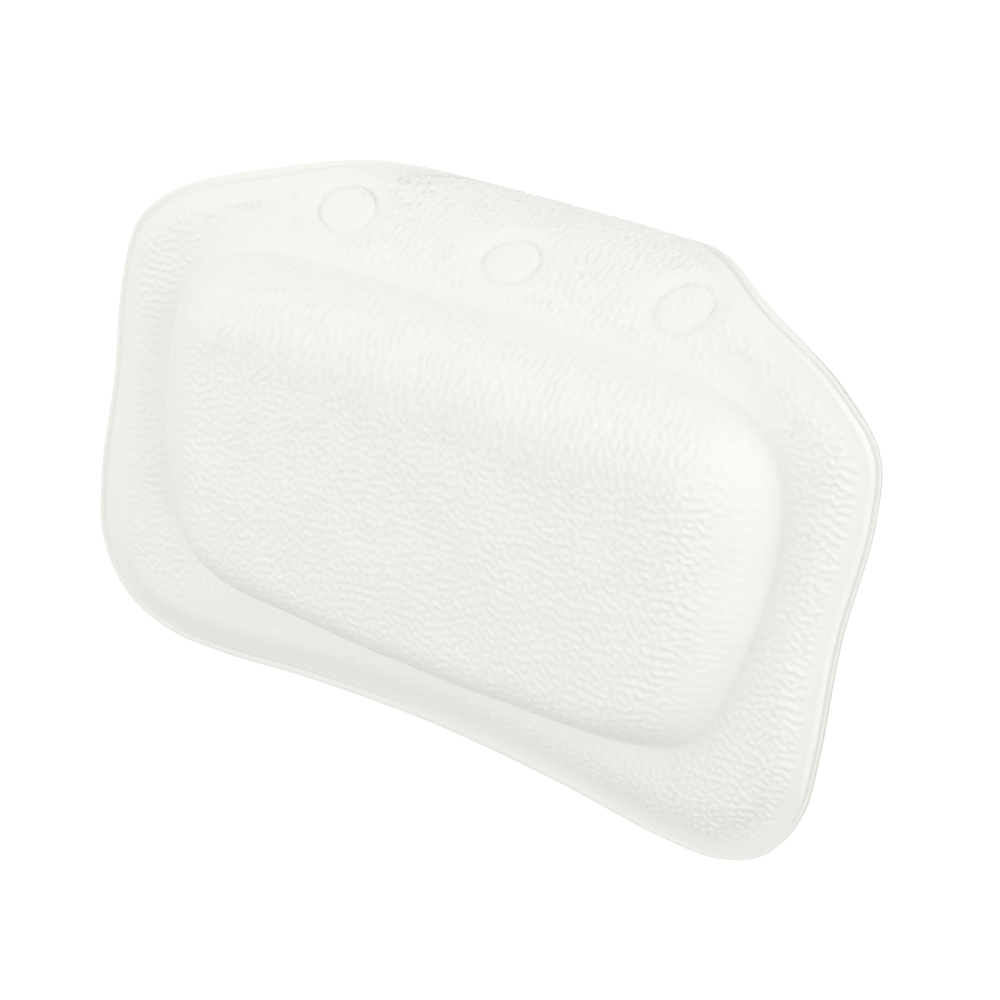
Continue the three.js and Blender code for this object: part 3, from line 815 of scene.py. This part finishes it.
def turning_tree():
    """A tree that turns a profile, x its radius and z its height, into a closed solid."""
    tree = bpy.data.node_groups.new("turned_piece", "GeometryNodeTree")
    for name, kind, way in (
            ("Profile", "NodeSocketGeometry", "INPUT"), ("Segments", "NodeSocketInt", "INPUT"),
            ("Place", "NodeSocketVector", "INPUT"), ("Turn", "NodeSocketVector", "INPUT"),
            ("Finish", "NodeSocketMaterial", "INPUT"), ("Piece", "NodeSocketGeometry", "OUTPUT")):
        tree.interface.new_socket(name, in_out=way, socket_type=kind)
    given = add_node(tree, "NodeGroupInput").outputs
    profile_size = add_node(tree, "GeometryNodeAttributeDomainSize", {
        0: given["Profile"]}, component="MESH")
    stations = add_node(tree, "ShaderNodeMath", {0: given["Segments"], 1: 1.0}, operation="ADD")
    sheet = add_node(tree, "GeometryNodeMeshGrid", {
        "Vertices X": profile_size.outputs["Point Count"], "Vertices Y": stations.outputs[0]})
    index = add_node(tree, "GeometryNodeInputIndex").outputs[0]
    share = add_node(tree, "ShaderNodeMath", {0: index, 1: stations.outputs[0]}, operation="DIVIDE")
    step = add_node(tree, "ShaderNodeMath", {0: share.outputs[0]}, operation="FLOOR")
    station = add_node(tree, "ShaderNodeMath", {
        0: index, 1: stations.outputs[0]}, operation="MODULO")
    turn = add_node(tree, "ShaderNodeMath", {
        0: station.outputs[0], 1: math.tau}, operation="MULTIPLY")
    angle = add_node(tree, "ShaderNodeMath", {
        0: turn.outputs[0], 1: given["Segments"]}, operation="DIVIDE")
    position = add_node(tree, "GeometryNodeInputPosition").outputs[0]
    corner = add_node(tree, "GeometryNodeSampleIndex", {
        "Geometry": given["Profile"], "Value": position, "Index": step.outputs[0]},
        data_type="FLOAT_VECTOR", domain="POINT")
    turned = add_node(tree, "ShaderNodeVectorRotate", {
        "Vector": corner.outputs[0], "Angle": angle.outputs[0]}, rotation_type="Z_AXIS")
    moved = add_node(tree, "GeometryNodeSetPosition", {
        "Geometry": sheet.outputs["Mesh"], "Position": turned.outputs[0]})
    closed = add_node(tree, "GeometryNodeMergeByDistance", {
        "Geometry": moved.outputs[0], "Distance": MERGE_DISTANCE})
    placed = add_node(tree, "GeometryNodeTransform", {
        "Geometry": closed.outputs[0], "Translation": given["Place"], "Rotation": given["Turn"]})
    smooth = add_node(tree, "GeometryNodeSetShadeSmooth", {"Geometry": placed.outputs[0]})
    real = add_node(tree, "GeometryNodeRealizeInstances", {"Geometry": smooth.outputs[0]})
    finished = add_node(tree, "GeometryNodeSetMaterial", {
        "Geometry": real.outputs[0], "Material": given["Finish"]})
    add_node(tree, "NodeGroupOutput", {"Piece": finished.outputs[0]})
    return tree


def turned_piece(name, tree, profile, place, turn, material):
    outline = bpy.data.meshes.new(name + "_profile")
    points = [(radius * METRES, 0, height * METRES) for radius, height in profile]
    outline.from_pydata(points, [(at, at + 1) for at in range(len(points) - 1)], [])
    source = bpy.data.objects.new(name + "_source", outline)
    bpy.context.scene.collection.objects.link(source)
    modifier = source.modifiers.new("turned", "NODES")
    modifier.node_group = tree
    sockets = {item.name: item.identifier
               for item in tree.interface.items_tree if item.in_out == "INPUT"}
    modifier[sockets["Segments"]] = TURNED_SEGMENTS
    modifier[sockets["Place"]] = place
    modifier[sockets["Turn"]] = turn
    modifier[sockets["Finish"]] = material
    evaluated = source.evaluated_get(bpy.context.evaluated_depsgraph_get())
    mesh = bpy.data.meshes.new_from_object(evaluated)
    mesh.name = name
    bpy.data.objects.remove(source)
    solid = bmesh.new()
    solid.from_mesh(mesh)
    bmesh.ops.recalc_face_normals(solid, faces=solid.faces)
    solid.to_mesh(mesh)
    solid.free()
    piece = bpy.data.objects.new(name, mesh)
    bpy.context.scene.collection.objects.link(piece)
    return piece


turning = turning_tree()
for side, cup in CUPS.items():
    axis = STAND @ cup["normal"]
    lip = STAND @ (cup["centre"] + LIP_PLANE * cup["normal"]) - SEAT
    turn = Vector((0, 0, 1)).rotation_difference(Vector(axis)).to_euler()
    place = Vector(lip) * METRES
    bell = turned_piece(f"clear_suction_cup_{side}", turning, CUP_PROFILE, place, turn, cup_vinyl)
    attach(bell, f"cup_{side}")
    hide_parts(f"suction_cup_{side}")
    disc = turned_piece(f"foam_disc_{side}", turning, CUSHION_PROFILE, place, turn, foam)
    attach(disc, "pillow")
    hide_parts(f"cup_cushion_{side}")


# Camera, at the photograph's angle and from its distance

def look(place, forward, up, lens):
    forward, up = Vector(forward).normalized(), Vector(up)
    right = forward.cross(up).normalized()
    up = right.cross(forward)
    turn = Matrix((right, up, -forward)).transposed().to_4x4()
    data = bpy.data.cameras.new("camera")
    data.lens = lens
    data.clip_end = 50
    camera = bpy.data.objects.new("camera", data)
    camera.matrix_world = Matrix.Translation(Vector(place) * METRES) @ turn
    bpy.context.scene.collection.objects.link(camera)
    bpy.context.scene.camera = camera


look(place=(389.6, -452.2, 575.7), forward=(-0.4505, 0.4748, -0.7561),
     up=(-0.2985, 0.718, 0.6288), lens=79.3)


# Light: a pale room, broad soft lamps high on the right, on the left and in front, and a small
# one low on the right
LAMP_TARGET = (0, -0.04, -0.04)


def area_lamp(name, place, size, power):
    data = bpy.data.lights.new(name, "AREA")
    data.shape = "DISK"
    data.size = size
    data.energy = power
    lamp = bpy.data.objects.new(name, data)
    lamp.location = place
    aim = Vector(LAMP_TARGET) - Vector(place)
    lamp.rotation_euler = aim.to_track_quat("-Z", "Y").to_euler()
    bpy.context.scene.collection.objects.link(lamp)


area_lamp("softbox_right", (1.465, 0.493, 0.860), size=0.9, power=5.3)
area_lamp("softbox_low_right", (1.540, -0.929, -0.322), size=0.55, power=3.2)
area_lamp("softbox_left", (-1.465, -0.886, 0.576), size=0.9, power=2.8)
area_lamp("softbox_front", (-0.422, -1.616, 0.721), size=0.9, power=2.4)

# The room lights the pillow a little less than it shows behind it
ROOM_LEVEL = 0.905
FLOOR_GLOW = 0.68
WHITE = (1, 1, 1, 1)


def seen_directly(tree):
    """One where a camera, glossy or transmitted ray looks, and zero for the light itself."""
    rays = add_node(tree, "ShaderNodeLightPath").outputs
    shiny = add_node(tree, "ShaderNodeMath", {
        0: rays["Is Glossy Ray"], 1: rays["Is Transmission Ray"]}, operation="MAXIMUM")
    return add_node(tree, "ShaderNodeMath", {
        0: rays["Is Camera Ray"], 1: shiny.outputs[0]}, operation="MAXIMUM").outputs[0]


world = bpy.data.worlds.new("pale_room")
world.use_nodes = True
world.node_tree.nodes.clear()
room, backdrop = (add_node(world.node_tree, "ShaderNodeBackground", {
    "Color": WHITE, "Strength": strength}) for strength in (ROOM_LEVEL, 1.0))
sky = add_node(world.node_tree, "ShaderNodeMixShader", {
    0: seen_directly(world.node_tree), 1: room.outputs[0], 2: backdrop.outputs[0]})
add_node(world.node_tree, "ShaderNodeOutputWorld", {"Surface": sky.outputs[0]})
bpy.context.scene.world = world

# The floor lies well below, as nothing in the photograph touches the pillow. Its matt paint is
# grey to the light that falls on the pillow, and glows to white where it is seen.
FLOOR_LEVEL = -0.6
FLOOR_HALF_WIDTH = 9
floor_material, floor_tree = new_material("matt_floor_paint")
paint = add_node(floor_tree, "ShaderNodeBsdfPrincipled", {
    "Base Color": srgb("#A9A9A9"), "Roughness": 0.9})
glow = add_node(floor_tree, "ShaderNodeEmission", {"Color": WHITE, "Strength": FLOOR_GLOW})
brightened = add_node(floor_tree, "ShaderNodeAddShader", {0: paint.outputs[0], 1: glow.outputs[0]})
floor_seen = add_node(floor_tree, "ShaderNodeMixShader", {
    0: seen_directly(floor_tree), 1: paint.outputs[0], 2: brightened.outputs[0]})
finish_material(floor_material, floor_tree, floor_seen)
floor_mesh = bpy.data.meshes.new("floor")
floor_corners = [(x * FLOOR_HALF_WIDTH, y * FLOOR_HALF_WIDTH, FLOOR_LEVEL)
                 for x, y in ((-1, -1), (1, -1), (1, 1), (-1, 1))]
floor_mesh.from_pydata(floor_corners, [], [(0, 1, 2, 3)])
floor_mesh.materials.append(floor_material)
floor = bpy.data.objects.new("floor", floor_mesh)
bpy.context.scene.collection.objects.link(floor)

bpy.context.scene.view_settings.view_transform = "Standard"
